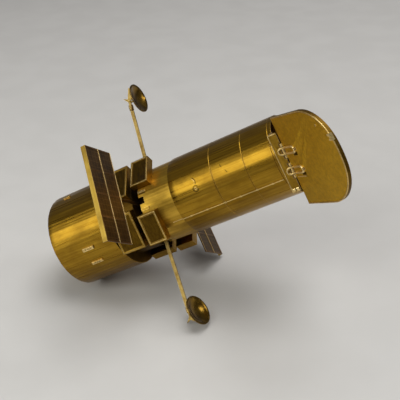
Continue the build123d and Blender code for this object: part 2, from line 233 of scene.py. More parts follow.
GOLD_STAIN = (0.10, 0.043, 0.005)
STREAK_RANGE = (0.35, 0.68)
STAIN_RANGE = (0.42, 0.72)
PIT_RANGE = (0.60, 0.78)
GLOSS_RANGE = (0.3, 0.7)
SMOOTHER, ROUGHER, STAIN_ROUGHER = 0.06, 0.08, 0.10
PIT_HEIGHT, BUMP_DISTANCE = 0.35, 0.05
# pale edges: partly wear, partly a painted highlight
WORN_AND_HIGHLIGHT_EDGE, PALE_GAIN, PALE_LIFT = 0.14, 1.25, 0.10


def sheet_metal(name, bright, dark, rough, streaks_along, streak_scale, tarnish=GOLD_STAIN,
                pitting=0.25, edge_wear_and_highlight=0.75, relief=0.2, bands=0.0, staining=0.55):
    """Rolled sheet: streaks from rolling, tarnish patches, fine pits, and pale edges that are partly
    wear, partly a painted highlight.
    """
    g = Graph(name)
    streaks = g.noise(streaks_along, streak_scale, detail=6.0, roughness=0.6)
    patches = g.noise(STAIN_STREAKS, scale=0.16, detail=5.0, roughness=0.6)
    pits = g.noise(EVEN, scale=2.6, detail=3.0, roughness=0.7)
    stain = g.span(patches, *STAIN_RANGE)
    base = g.blend(g.span(streaks, *STREAK_RANGE), dark, bright)
    base = g.blend(g.math("MULTIPLY", stain, staining), base, tarnish)
    base = g.blend(g.math("MULTIPLY", g.span(pits, *PIT_RANGE), pitting), base, tarnish)
    pale = tuple(min(1.0, channel * PALE_GAIN + PALE_LIFT) for channel in bright)
    base = g.blend(g.math("MULTIPLY", g.edges(WORN_AND_HIGHLIGHT_EDGE), edge_wear_and_highlight), base, pale)
    roughness = g.math("ADD", g.span(streaks, *GLOSS_RANGE, rough - SMOOTHER, rough + ROUGHER),
                       g.math("MULTIPLY", stain, STAIN_ROUGHER))
    height = g.math("ADD", streaks, g.math("MULTIPLY", pits, PIT_HEIGHT))
    if bands:
        rolled = g.noise(BAND_STREAKS, scale=0.55, detail=2.0, roughness=0.5)
        height = g.math("ADD", height, g.math("MULTIPLY", rolled, bands))
    return g.finish(base, roughness, height, relief, BUMP_DISTANCE)


gold_sheet = sheet_metal("gold_sheet", (0.43, 0.245, 0.024), (0.27, 0.145, 0.011), 0.29,
                         TUBE_STREAKS, 1.5, relief=0.5, bands=2.5)
# lighter shell gold: a painted highlight, standing in for the lit band where the near array blocks the
# lamp
gold_shell_painted_highlight = sheet_metal("gold_shell_painted_highlight", (0.68, 0.42, 0.06), (0.46, 0.27, 0.03), 0.37,
                         TUBE_STREAKS, 1.5, relief=0.5, bands=2.5)
gold_matte = sheet_metal("gold_matte", (0.71, 0.415, 0.028), (0.54, 0.305, 0.018), 0.40,
                         COARSE, 2.4, pitting=0.45, edge_wear_and_highlight=1.0, staining=0.25)
gold_bracket = sheet_metal("gold_bracket", (0.38, 0.22, 0.024), (0.27, 0.148, 0.014), 0.40,
                           COARSE, 2.4, pitting=0.45, edge_wear_and_highlight=1.0, staining=0.25)
gold_fittings = sheet_metal("gold_fittings", (0.44, 0.31, 0.10), (0.22, 0.14, 0.035), 0.42,
                            EVEN, 0.9, pitting=0.5, edge_wear_and_highlight=1.0)
gold_frame = sheet_metal("gold_frame", (0.27, 0.155, 0.065), (0.15, 0.082, 0.030), 0.40,
                         ARRAY_STREAKS, 1.2, tarnish=(0.05, 0.022, 0.008), edge_wear_and_highlight=0.6)
# lighter strip gold: a painted highlight on the arrays' outward faces
gold_strip_painted_highlight = sheet_metal("gold_strip_painted_highlight", (0.46, 0.31, 0.062), (0.30, 0.19, 0.030), 0.44,
                         ARRAY_STREAKS, 1.2, edge_wear_and_highlight=0.9)
# bright bead gold: a painted highlight on raised beads, rails, tabs and lines
gold_bead_painted_highlight = sheet_metal("gold_bead_painted_highlight", (0.88, 0.65, 0.28), (0.58, 0.38, 0.12), 0.30,
                        EVEN, 1.6, pitting=0.5, edge_wear_and_highlight=0.6)
# brightest gold: a painted highlight on the hinge loops, clips and latch
gold_bright_painted_highlight = sheet_metal("gold_bright_painted_highlight", (1.0, 0.80, 0.38), (0.86, 0.64, 0.26), 0.30,
                          EVEN, 1.6, edge_wear_and_highlight=0.6, staining=0.15)
# dark dish gold: painted shade, standing in for dark surroundings seen in the bowls
dish_gold_painted_shade = sheet_metal("dish_gold_painted_shade", (0.29, 0.17, 0.026), (0.14, 0.077, 0.010), 0.22,
                        EVEN, 0.5, pitting=0.35, edge_wear_and_highlight=1.0)
# dark brown: painted shade on the masts
mast_painted_shade = sheet_metal("mast_painted_shade", (0.14, 0.08, 0.02), (0.08, 0.042, 0.010), 0.42,
                         MAST_STREAKS, 1.5, tarnish=(0.05, 0.025, 0.006), edge_wear_and_highlight=0.4)
# dim gold: painted shade on the plates round the neck and on the door's flange and edge
gold_dim_painted_shade = sheet_metal("gold_dim_painted_shade", (0.20, 0.112, 0.014), (0.12, 0.063, 0.007), 0.46,
                       SHORT_STREAKS, 1.3, tarnish=(0.05, 0.022, 0.004), edge_wear_and_highlight=0.5)
# dark gold: painted shade on the core between the bays
gold_dark_painted_shade = sheet_metal("gold_dark_painted_shade", (0.12, 0.065, 0.009), (0.07, 0.036, 0.005), 0.50,
                        SHORT_STREAKS, 1.3, tarnish=(0.04, 0.018, 0.003), edge_wear_and_highlight=0.4)
gold_shade = sheet_metal("gold_shade", (0.09, 0.045, 0.008), (0.05, 0.025, 0.005), 0.5,
                         EVEN, 1.0, tarnish=(0.03, 0.013, 0.003), edge_wear_and_highlight=0.2)
# dark panel gold: painted shade in the bays' recessed panels
gold_panel_painted_shade = sheet_metal("gold_panel_painted_shade", (0.135, 0.072, 0.007), (0.070, 0.036, 0.004), 0.44,
                         PANEL_STREAKS, 1.6, tarnish=(0.035, 0.016, 0.003), pitting=0.8, edge_wear_and_highlight=0.5,
                         relief=0.35)

CELL_DARK, CELL_BROWN, CELL_SPECK = (0.050, 0.026, 0.009), (0.105, 0.055, 0.016), (0.17, 0.10, 0.035)
CELL_LINE = (0.26, 0.15, 0.05)
CELL_LINES = ((1, 1.45), (2, 1.75))  # the axis that each set of lines crosses, and their pitch
CELL_LINE_RANGE = (0.05, 0.16)
SPECK_SHARE, LINE_SHARE, LINE_DEPTH = 0.4, 0.45, 0.8
# dark line colours: oxide in engraved lines, and painted shadow beside the upper foot tabs
OXIDE_AND_SHADOW_DARK, OXIDE_AND_SHADOW_BROWN = (0.025, 0.012, 0.003), (0.075, 0.038, 0.008)


def etched_cell_metal():
    """Deep-etched brown faces with a fine grid of cell lines and mottled patches."""
    g = Graph("etched_cells")
    patches = g.noise(EVEN, scale=0.35, detail=5.0, roughness=0.65)
    grain = g.noise(EVEN, scale=3.2, detail=3.0, roughness=0.7)
    base = g.blend(g.span(patches, 0.38, 0.66), CELL_DARK, CELL_BROWN)
    base = g.blend(g.math("MULTIPLY", g.span(grain, 0.5, 0.75), SPECK_SHARE), base, CELL_SPECK)
    parts = g.add("ShaderNodeSeparateXYZ", {0: g.coordinates(EVEN)}).outputs
    lines = None
    for axis, pitch in CELL_LINES:
        wave = g.math("ABSOLUTE", g.math("SINE", g.math("MULTIPLY", parts[axis], math.pi / pitch)))
        painted_shadow = g.span(wave, *CELL_LINE_RANGE, 1.0, 0.0)
        lines = painted_shadow if lines is None else g.math("MAXIMUM", lines, painted_shadow)
    base = g.blend(g.math("MULTIPLY", lines, LINE_SHARE), base, CELL_LINE)
    roughness = g.span(patches, *GLOSS_RANGE, 0.38, 0.52)
    height = g.math("SUBTRACT", grain, g.math("MULTIPLY", lines, LINE_DEPTH))
    return g.finish(base, roughness, height, 0.3, 0.03, metallic=0.85)


def engraved_and_shadow_metal():
    """Dark, rough line with a little grain: oxide in engraved lines, and a painted shadow beside the
    upper foot tabs.
    """
    g = Graph("engraved_and_shadow_line")
    grain = g.noise(EVEN, scale=2.0, detail=3.0, roughness=0.6)
    base = g.blend(g.span(grain, 0.35, 0.65), OXIDE_AND_SHADOW_DARK, OXIDE_AND_SHADOW_BROWN)
    return g.finish(base, g.span(grain, *GLOSS_RANGE, 0.5, 0.65), grain, 0.2, 0.02, metallic=0.9)


etched_cells = etched_cell_metal()
engraved_and_shadow = engraved_and_shadow_metal()

# ---- how a mesh becomes a piece ---------------------------------------------------------

slot_of = {part["node"]: part["material_slot"] for part in frame["record"]["subparts"]}


def body_of(node):
    return frame["nodes"][node].get("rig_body")


def new_object(name, bm, material=None):
    """Object from the faces of bm, which is used up."""
    mesh_data = bpy.data.meshes.new(name)
    bm.to_mesh(mesh_data)
    bm.free()
    if material:
        mesh_data.materials.append(material)
    obj = bpy.data.objects.new(name, mesh_data)
    bpy.context.scene.collection.objects.link(obj)
    return obj


def smooth(mesh_data, sharp_angle):
    for polygon in mesh_data.polygons:
        polygon.use_smooth = True
    mesh_data.set_sharp_from_angle(angle=math.radians(sharp_angle))


def add_piece(name, bm, body, material, sharp_angle=32):
    """Piece that rides on a body and is smooth, except where faces meet at more than an angle."""
    obj = new_object(name, bm, material)
    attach(obj, body)
    smooth(obj.data, sharp_angle)
    return obj


def skin(bm, rows, closed):
    """Faces from each row of points to the next; each row is a closed outline."""
    for index in range(len(rows) if closed else len(rows) - 1):
        here, there = rows[index], rows[(index + 1) % len(rows)]
        for corner in range(len(here)):
            other = (corner + 1) % len(here)
            bm.faces.new((here[corner], there[corner], there[other], here[other]))


# ---- rolled tubes: rings with slight flats, as sheet takes when it is rolled by hand -----

RING_STEPS = 360
TUBE_SHARP = 40
LEAST_FLAT = 0.45  # the shallowest flat, as a share of the deepest


def flats(seed, widths, depth):
    """How far the sheet lies inside its circle, as a share of the radius, by angle."""
    chance = random.Random(seed)
    creases = [0.0]
    while creases[-1] < 360 - widths[1]:
        creases.append(creases[-1] + chance.uniform(*widths))
    creases.append(360.0)
    amounts = [depth * chance.uniform(LEAST_FLAT, 1.0) for _ in creases]

    def inset(angle):
        angle %= 360
        for index in range(len(creases) - 1):
            if creases[index] <= angle <= creases[index + 1]:
                half = math.radians(creases[index + 1] - creases[index]) / 2
                middle = (creases[index] + creases[index + 1]) / 2
                offset = math.radians(angle - middle)
                chord = math.cos(half) / math.cos(offset)
                return amounts[index] * (1 - chord)
        return 0.0

    return inset


def rolled_tube(node, profile, inset, material):
    """Revolves a closed profile of (x, radius, how much of the flats it takes) round the tube's axis."""
    bm = bmesh.new()
    rows = []
    for step in range(RING_STEPS):
        angle = 360 * step / RING_STEPS
        share = inset(angle)
        rows.append([bm.verts.new(world(*around(x, radius * (1 - share * take), angle)))
                     for x, radius, take in profile])
    skin(bm, rows, closed=True)
    bmesh.ops.recalc_face_normals(bm, faces=bm.faces)
    obj = add_piece(node + "_sheet", bm, body_of(node), material, TUBE_SHARP)
    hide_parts(node)
    return obj


RIM, RIM_CORNER = 0.06, 0.3  # how far a rim is rounded, and where on it the middle point lies
RING_SPACING = 2.0
INSIDE_TAKE = 0.7  # the share of the outer wall's flats that the inner wall takes
GROOVE_WIDTH, GROOVE_DEPTH, GROOVE_LIP = 0.32, 0.12, 0.05
GROOVE_SIDE, GROOVE_FLOOR = 0.6, 0.4  # shares: how deep its sides start, how wide its floor is


def ring_profile(start, end, outer, inner, grooves=()):
    """Closed wall profile: outer run with grooves, rounded edges, plain inner run."""
    stops = [start + RIM]
    while stops[-1] + RING_SPACING < end - RIM:
        stops.append(stops[-1] + RING_SPACING)
    stops.append(end - RIM)
    points = [(x, outer, 1) for x in stops if all(abs(x - at) > GROOVE_WIDTH for at in grooves)]
    half = GROOVE_WIDTH / 2
    half_floor = half * GROOVE_FLOOR
    side, bottom = outer - GROOVE_DEPTH * GROOVE_SIDE, outer - GROOVE_DEPTH
    for at in grooves:
        points += [(at - half - GROOVE_LIP, outer, 1), (at - half, side, 1),
                   (at - half_floor, bottom, 1), (at + half_floor, bottom, 1),
                   (at + half, side, 1), (at + half + GROOVE_LIP, outer, 1)]
    points.sort(key=lambda point: point[0])
    corner = RIM * RIM_CORNER
    front = [(end - corner, outer - corner, 1), (end, outer - RIM, 1),
             (end, inner + RIM, INSIDE_TAKE), (end - RIM, inner, INSIDE_TAKE)]
    back = [(start + RIM, inner, INSIDE_TAKE), (start, inner + RIM, INSIDE_TAKE),
            (start, outer - RIM, 1), (start + corner, outer - corner, 1)]
    return points + front + back


SHEET = 0.3
AFT_LENGTH, AFT_RADIUS = 22.7, 15.9
CORE_START, CORE_END, CORE_RADIUS = AFT_LENGTH - 2, 31.9, 12.4
SHELL_START, SHELL_END, SHELL_RADIUS = 34.7, 46.4, 12.4
SHELL_LAP = 2  # how far the shell reaches into the light shield
SHIELD_END, SHIELD_RADIUS = 83.3, 12.7
SHIELD_INSIDE = SHELL_RADIUS + 0.01
SEAMS = (61.7, 72.8, 82.1)

shield_flats = flats(seed=3, widths=(10, 19), depth=0.75)
aft_flats = flats(seed=11, widths=(8, 15), depth=0.8)
core_flats = flats(seed=5, widths=(10, 19), depth=0.6)

rolled_tube("aft_shroud", ring_profile(0, AFT_LENGTH, AFT_RADIUS, AFT_RADIUS - SHEET), aft_flats,
            gold_sheet)
# the core's dark metal is painted shade
rolled_tube("core", ring_profile(CORE_START, CORE_END, CORE_RADIUS, CORE_RADIUS - SHEET), core_flats,
            gold_dark_painted_shade)
rolled_tube("light_shield", ring_profile(SHELL_END, SHIELD_END, SHIELD_RADIUS, SHIELD_INSIDE, SEAMS),
            shield_flats, gold_sheet)
# the forward shell's lighter metal is a painted highlight
shell_profile = ring_profile(SHELL_START, SHELL_END + SHELL_LAP, SHELL_RADIUS, SHELL_RADIUS - SHEET)
shell = rolled_tube("forward_shell", shell_profile, shield_flats, gold_shell_painted_highlight)

NOTCH_END, NOTCH_WIDTH = 36.6, 2.2


def cut_notches(obj):
    """Cuts the mast and boom notches out of the shell's aft edge."""
    bm = bmesh.new()
    reach = 2 * SHIELD_RADIUS
    for half_y, half_z in ((reach, NOTCH_WIDTH / 2), (NOTCH_WIDTH / 2, reach)):
        corners = [bm.verts.new(world(x, y, z)) for x in (SHELL_START - 1, NOTCH_END)
                   for y in (-half_y, half_y) for z in (-half_z, half_z)]
        bmesh.ops.convex_hull(bm, input=corners)
    bmesh.ops.recalc_face_normals(bm, faces=bm.faces)
    cutter = new_object("notch_cutter", bm)
    cut = obj.modifiers.new("notches", "BOOLEAN")
    cut.operation = "DIFFERENCE"
    cut.solver = "EXACT"
    cut.use_self = True
    cut.object = cutter
    bpy.context.view_layer.update()
    graph = bpy.context.evaluated_depsgraph_get()
    finished = bpy.data.meshes.new_from_object(obj.evaluated_get(graph))
    obj.modifiers.clear()
    obj.data = finished
    bpy.data.objects.remove(cutter)
    smooth(finished, TUBE_SHARP)


cut_notches(shell)

# ---- small bars on the tube: rails, foot tabs and the aft shroud's folded tabs -----------

tube_body = body_of("aft_shroud")
SUNK = 0.2  # how far a bar starts below the sheet's outer radius
HULL_FLAT = 0.02  # the angle in radians below which the hull's triangles become one face


def strip(name, material, x_start, x_end, angle, width, low, high, chamfer):
    """Small bar along the tube, between two radii, with chamfered edges."""
    bm = bmesh.new()
    out = around(0, 1, angle)
    side = Vector((0, -out.z, out.y))
    corners = [bm.verts.new(TUBE @ (AHEAD * x + out * radius + side * across))
               for x in (x_start, x_end) for across in (-width / 2, width / 2)
               for radius in (low, high)]
    bmesh.ops.convex_hull(bm, input=corners)
    bmesh.ops.dissolve_limit(bm, angle_limit=HULL_FLAT, verts=bm.verts, edges=bm.edges)
    bmesh.ops.recalc_face_normals(bm, faces=bm.faces)
    bmesh.ops.bevel(bm, geom=bm.edges[:], offset=chamfer * MM, segments=2, affect="EDGES")
    return add_piece(name, bm, tube_body, material)


# handrail over both tubes: a thin bar, with small feet where it meets the light shield; bright with
# painted highlight
RAIL_ANGLE, RAIL_WIDTH, RAIL_RISE, RAIL_CHAMFER = 49, 0.26, 0.14, 0.05
RAIL_GAP = 0.1
SHELL_RAIL_LENGTH = 3.8
SHIELD_RAIL_END = SEAMS[-1] - 0.3
FOOT_PLACES = (49.5, 55.4, 61.9, 67.3, 73.0, 78.2)
FOOT_HALF, FOOT_WIDTH, FOOT_RISE = 0.22, 0.62, 0.10
strip("shell_rail", gold_bead_painted_highlight, SHELL_END - SHELL_RAIL_LENGTH, SHELL_END - RAIL_GAP, RAIL_ANGLE,
      RAIL_WIDTH, SHELL_RADIUS - SUNK, SHELL_RADIUS + RAIL_RISE, RAIL_CHAMFER)
strip("shield_rail", gold_bead_painted_highlight, SHELL_END + RAIL_GAP, SHIELD_RAIL_END, RAIL_ANGLE,
      RAIL_WIDTH, SHIELD_RADIUS - SUNK, SHIELD_RADIUS + RAIL_RISE, RAIL_CHAMFER)
for index, at in enumerate(FOOT_PLACES):
    strip(f"rail_foot_{index}", gold_bead_painted_highlight, at - FOOT_HALF, at + FOOT_HALF, RAIL_ANGLE,
          FOOT_WIDTH, SHIELD_RADIUS - SUNK, SHIELD_RADIUS + FOOT_RISE, RAIL_CHAMFER)

# foot tabs at the shell's aft edge: the upper two are narrow and bright with painted highlight, beside a
# dark line of painted shadow; the lower two are in the shell's metal
FOOT_TABS = ((13.5, False), (-13.5, True), (166.5, False), (193.5, True))  # angle, upper
TAB_START, TAB_END, TAB_RISE, TAB_CHAMFER = SHELL_START + 0.05, SHELL_START + 3.0, 0.24, 0.07
UPPER_WIDTH, LOWER_WIDTH = 0.6, 0.9
LINE_START, LINE_END, LINE_RISE, LINE_CHAMFER = SHELL_START + 0.3, SHELL_START + 2.9, 0.05, 0.02
LINE_WIDTH, LINE_BESIDE = 0.34, 3.1
for index, (angle, upper) in enumerate(FOOT_TABS):
    material, width = (gold_bead_painted_highlight, UPPER_WIDTH) if upper else (gold_shell_painted_highlight, LOWER_WIDTH)
    strip(f"foot_tab_{index}", material, TAB_START, TAB_END, angle,
          width, SHELL_RADIUS - SUNK, SHELL_RADIUS + TAB_RISE, TAB_CHAMFER)
    if upper:
        line_angle = angle + (LINE_BESIDE if angle < 90 else -LINE_BESIDE)
        strip(f"foot_tab_{index}_line", engraved_and_shadow, LINE_START, LINE_END, line_angle,
              LINE_WIDTH, SHELL_RADIUS - SUNK, SHELL_RADIUS + LINE_RISE, LINE_CHAMFER)

# tabs of the aft shroud that are folded over and lie on the sheet, each with three dashes; the tabs are
# bright with painted highlight
FOLDED_TABS = (  # start, angle, length
    (10.4, 33, 4.4), (10.4, 53, 4.4), (10.4, 213, 4.4), (10.4, 233, 4.4), (5.0, -49, 2.6))
FOLDED_WIDTH, FOLDED_SUNK, FOLDED_RISE, FOLDED_CHAMFER = 1.1, 0.25, 0.42, 0.10
DASH_FIRST, DASH_STEP, DASH_HALF = 0.28, 0.22, 0.07  # shares of the tab's length
DASH_WIDTH, DASH_LOW, DASH_RISE, DASH_CHAMFER = 0.24, 0.3, 0.44, 0.02
for index, (start, angle, length) in enumerate(FOLDED_TABS):
    strip(f"shroud_tab_{index}", gold_bead_painted_highlight, start, start + length, angle,
          FOLDED_WIDTH, AFT_RADIUS - FOLDED_SUNK, AFT_RADIUS + FOLDED_RISE, FOLDED_CHAMFER)
    for dash in range(3):
        at = start + length * (DASH_FIRST + DASH_STEP * dash)
        reach = length * DASH_HALF
        strip(f"shroud_tab_{index}_dash_{dash}", engraved_and_shadow, at - reach, at + reach, angle,
              DASH_WIDTH, AFT_RADIUS + DASH_LOW, AFT_RADIUS + DASH_RISE, DASH_CHAMFER)

# ---- all other CAD nodes: the same shape with rounded edges and smooth shading -----------

EDGE_WIDTHS = {
    "aft_plate": 0, "shoulder_plate": 0.05, "core_plate": 0.05, "neck": 0.04, "shell_plate": 0.04,
    "core_bays": 0.10, "shell_bays": 0.10, "masts": 0.06, "booms": 0.10,
    "hinge_bracket": 0.06, "hinge_pins": 0.05, "door": 0.07, "array_near": 0.05, "array_far": 0.05,
    "cells_near": 0.03, "cells_far": 0.03, "yoke_upper": 0.06, "yoke_lower": 0.06,
    "dish_upper": 0.05, "dish_lower": 0.05,
}
# darker metals for the plates round the neck, the neck, the masts and the dishes: painted shade
METAL_OF_NODE = {
    "core_plate": gold_dim_painted_shade, "shell_plate": gold_dim_painted_shade, "shoulder_plate": gold_dim_painted_shade,
    "neck": gold_shade, "masts": mast_painted_shade, "hinge_bracket": gold_bracket,
    "array_near": gold_frame, "array_far": gold_frame,
    "dish_upper": dish_gold_painted_shade, "dish_lower": dish_gold_painted_shade,
}
METAL_OF_SLOT = {
    "gold_sheet": gold_sheet, "gold_matte": gold_matte, "gold_fittings": gold_fittings,
    "etched_cells": etched_cells,
}
WELD = 0.002  # points closer than this are merged
FLAT_ANGLE, ROUNDED_ANGLE = 0.5, 40  # flatter faces merge, sharper edges are rounded


def dress(node, width):
    """New piece over a CAD node: merged faces, rounded edges, smooth curves."""
    bm = bmesh.new()
    bm.from_mesh(frame["nodes"][node].data)
    bmesh.ops.remove_doubles(bm, verts=bm.verts, dist=WELD * MM)
    bmesh.ops.dissolve_limit(bm, angle_limit=math.radians(FLAT_ANGLE), verts=bm.verts, edges=bm.edges)
    bmesh.ops.recalc_face_normals(bm, faces=bm.faces)
    slot_name = slot_of[node]
    material = METAL_OF_NODE.get(node, METAL_OF_SLOT[slot_name])
    obj = add_piece(node + "_sheet", bm, body_of(node), material)
    if width:
        bevel = obj.modifiers.new("edge", "BEVEL")
        bevel.width = width * MM
        bevel.segments = 2
        bevel.limit_method = "ANGLE"
        bevel.angle_limit = math.radians(ROUNDED_ANGLE)
        bevel.use_clamp_overlap = True
        bevel.harden_normals = False
    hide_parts(node)
    return obj


dressed = {node: dress(node, width) for node, width in EDGE_WIDTHS.items()}


def tint(node, material, chosen):
    """Gives another metal to those faces of a node whose middle and normal pass a test."""
    obj = dressed[node]
    obj.data.materials.append(material)
    index = len(obj.data.materials) - 1
    place = TO_TUBE @ obj.matrix_world
    for polygon in obj.data.polygons:
        if chosen(place @ polygon.center, (turn.transposed() @ polygon.normal).normalized()):
            polygon.material_index = index


# ---- bars and plates on a face; a face is (body, material slot, place function) ----------

BEAD = ((-0.5, 0.0), (-0.48, 0.5), (-0.38, 0.86), (-0.14, 1.0),
        (0.14, 1.0), (0.38, 0.86), (0.48, 0.5), (0.5, 0.0))  # shares of a bar's width and height
MITRE_LIMIT = 0.5


def ribbon(name, face, material, path, width, heights, closed=False):
    """Rounded bar along a path of (a, b) on a face, between two heights above it."""
    body, slot_name, place = face
    low, high = heights
    bm = bmesh.new()
    rows = []
    for index, point in enumerate(path):
        before = path[index - 1] if closed or index else point
        after = path[(index + 1) % len(path)] if closed or index < len(path) - 1 else point
        into = Vector((point[0] - before[0], point[1] - before[1]))
        onward = Vector((after[0] - point[0], after[1] - point[1]))
        into = into.normalized() if into.length else onward.normalized()
        onward = onward.normalized() if onward.length else into
        heading = (into + onward).normalized()
        side = Vector((-heading.y, heading.x)) / max(MITRE_LIMIT, heading.dot(into))
        row = []
        for across, rise in BEAD:
            a = point[0] + side.x * width * across
            b = point[1] + side.y * width * across
            row.append(bm.verts.new(TUBE @ place(a, b, low + (high - low) * rise)))
        rows.append(row)
    skin(bm, rows, closed)
    if not closed:
        bm.faces.new(rows[0])
        bm.faces.new(rows[-1])
    bmesh.ops.recalc_face_normals(bm, faces=bm.faces)
    return add_piece(name, bm, body, material, sharp_angle=50)


def pad(name, face, material, outline, heights, chamfer):
    """Thin plate of a given outline on a face, with its upper edge chamfered."""
    body, slot_name, place = face
    bm = bmesh.new()
    rows = [[bm.verts.new(TUBE @ place(a, b, height)) for a, b in outline] for height in heights]
    bm.faces.new(rows[0])
    top = bm.faces.new(rows[1])
    skin(bm, rows, closed=False)
    bmesh.ops.recalc_face_normals(bm, faces=bm.faces)
    bmesh.ops.bevel(bm, geom=top.edges[:], offset=chamfer * MM, segments=2, affect="EDGES")
    return add_piece(name, bm, body, material, sharp_angle=35)


def arc(centre_a, centre_b, radius, start, end, steps):
    """Points of an arc in a face's own plane."""
    turns = [math.radians(start + (end - start) * step / steps) for step in range(steps + 1)]
    return [(centre_a + radius * math.cos(t), centre_b + radius * math.sin(t)) for t in turns]


# ---- door and hinge bracket: a is ahead of the hinge, b is along its pins ---------------

HINGE_X, HINGE_HEIGHT = 86.35, 13.9
DOOR_OPEN = 44.6
HALF_PLATE = 0.2

hinge_out = around(0, 1, HINGE_ANGLE)
hinge_along = Vector((0, -hinge_out.z, hinge_out.y))
hinge_point = AHEAD * HINGE_X + hinge_out * HINGE_HEIGHT
opened = math.radians(DOOR_OPEN)
door_ahead = AHEAD * math.cos(opened) + hinge_out * math.sin(opened)
door_out = hinge_out * math.cos(opened) - AHEAD * math.sin(opened)
door_face = (body_of("door"), "gold_matte",
             on_plane(hinge_point + door_out * HALF_PLATE, door_ahead, hinge_along, door_out))
bracket_face = (body_of("hinge_bracket"), "gold_matte",
                on_plane(hinge_point + hinge_out * HALF_PLATE, AHEAD, hinge_along, hinge_out))

RAISED = 0.3  # faces further out than this from the plates' middle get a painted highlight
FLANGE_START = 1.5
SIDEWAYS, SQUARE, PARALLEL = 0.5, 0.9, 0.99  # cosines between a face's normal and an axis


def on_door_side(point, normal):
    """The flange and the plate's own edge."""
    from_hinge = (point - hinge_point).dot(door_ahead)
    return abs(normal.dot(door_out)) < SIDEWAYS and from_hinge > FLANGE_START


# the door's flange and edge are darkened with painted shade; the raised faces of door and bracket get a
# painted highlight
tint("door", gold_dim_painted_shade, on_door_side)
tint("door", gold_bead_painted_highlight, lambda point, normal: (point - hinge_point).dot(door_out) > RAISED)
tint("hinge_bracket", gold_bead_painted_highlight, lambda point, normal: (point - hinge_point).dot(hinge_out) > RAISED)

DOOR_HALF, DOOR_LENGTH = 13.75, 26.6
DOOR_END_RADIUS, DOOR_CORNER = 25.0, 12.2
DOOR_BEAD_START, DOOR_BEAD_IN = 0.9, 0.26
CORNER_STEPS, END_STEPS = 14, 20


def door_path(inset):
    """Points along the door's two sides and bowed far edge, a given distance inside them."""
    half, far = DOOR_HALF - inset, DOOR_LENGTH - inset
    end_radius, corner = DOOR_END_RADIUS - inset, DOOR_CORNER - inset
    end_centre = far - end_radius
    corner_at = end_centre + math.sqrt((end_radius - corner) ** 2 - (half - corner) ** 2)
    lean = math.degrees(math.atan2(half - corner, corner_at - end_centre))
    points = [(DOOR_BEAD_START, -half), (corner_at / 2, -half)]
    points += arc(corner_at, corner - half, corner, -90, -lean, CORNER_STEPS)
    points += arc(end_centre, 0, end_radius, -lean, lean, END_STEPS)[1:-1]
    points += arc(corner_at, half - corner, corner, lean, 90, CORNER_STEPS)
    return points + [(corner_at / 2, half), (DOOR_BEAD_START, half)]


HINGE_LINE = [(1.5, 4.95), (3.8, 5.0), (6.1, 5.05)]
BRACKET_BORDER = [(-0.5, -9.02), (-2.85, -9.02), (-2.85, 9.02), (-0.5, 9.02)]
BRACKET_CLIPS = ([(-2.55, 8.35), (-1.75, 8.35)], [(-1.4, 8.35), (-0.6, 8.35)])
# door bead, hinge line, bracket bead and clips: bright with painted highlight
ribbon("door_bead", door_face, gold_bead_painted_highlight, door_path(DOOR_BEAD_IN), width=0.44, heights=(-0.02, 0.16))
ribbon("door_hinge_line", door_face, gold_bright_painted_highlight, HINGE_LINE, width=0.30, heights=(-0.02, 0.14))
ribbon("bracket_bead", bracket_face, gold_bead_painted_highlight, BRACKET_BORDER, width=0.28, heights=(-0.02, 0.12))
for index, path in enumerate(BRACKET_CLIPS):
    ribbon(f"bracket_clip_{index}", bracket_face, gold_bright_painted_highlight, path, width=0.95, heights=(-0.02, 0.34))

# half loops that face each other across the hinge line, and a plate inside each of the door's; the loops
# are bright with painted highlight
LOOP_MIDDLES = (-3.45, 2.75)
LOOP_RADIUS, LOOP_BAR, LOOP_HEIGHTS, LOOP_STEPS = 0.95, 0.66, (-0.02, 0.45), 12
DOOR_LOOP_START, DOOR_LOOP_BEND = 0.9, 5.0
BRACKET_LOOP_START, BRACKET_LOOP_BEND = -0.1, -0.8
FILLING_START, FILLING_BEND, FILLING_RADIUS, FILLING_STEPS = 1.3, 4.75, 0.55, 8
for index, middle in enumerate(LOOP_MIDDLES):
    near, far = middle - LOOP_RADIUS, middle + LOOP_RADIUS
    front = arc(DOOR_LOOP_BEND, middle, LOOP_RADIUS, -90, 90, LOOP_STEPS)
    front = [(DOOR_LOOP_START, near)] + front + [(DOOR_LOOP_START, far)]
    rear = arc(BRACKET_LOOP_BEND, middle, LOOP_RADIUS, 90, 270, LOOP_STEPS)
    rear = [(BRACKET_LOOP_START, far)] + rear + [(BRACKET_LOOP_START, near)]
    near, far = middle - FILLING_RADIUS, middle + FILLING_RADIUS
    filling = arc(FILLING_BEND, middle, FILLING_RADIUS, -90, 90, FILLING_STEPS)
    filling = [(FILLING_START, near)] + filling + [(FILLING_START, far)]
    ribbon(f"door_loop_{index}", door_face, gold_bright_painted_highlight, front, LOOP_BAR, LOOP_HEIGHTS)
    ribbon(f"bracket_loop_{index}", bracket_face, gold_bead_painted_highlight, rear, LOOP_BAR, LOOP_HEIGHTS)
    pad(f"door_loop_filling_{index}", door_face, gold_matte, filling, (-0.02, 0.16), chamfer=0.04)

# latch on the far edge and a rivet beside it, both bright with painted highlight
LATCH = [(25.0, -5.9), (26.1, -5.9), (26.45, -3.9), (25.3, -3.9)]
LATCH_BARS = ([(24.95, -5.55), (26.15, -5.55)], [(25.2, -4.25), (26.4, -4.25)])
RIVET = arc(21.1, -8.67, 0.36, 0, 330, 11)
pad("door_latch", door_face, gold_bright_painted_highlight, LATCH, heights=(-0.4, 0.34), chamfer=0.08)
for index, path in enumerate(LATCH_BARS):
    ribbon(f"door_latch_bar_{index}", door_face, gold_bright_painted_highlight, path, width=0.6, heights=(0.2, 0.6))
pad("door_rivet", door_face, gold_bead_painted_highlight, RIVET, heights=(-0.02, 0.16), chamfer=0.05)

# ---- arrays: an outer strip and raised lines, both bright with painted highlight; a is away from the tube, b along the booms

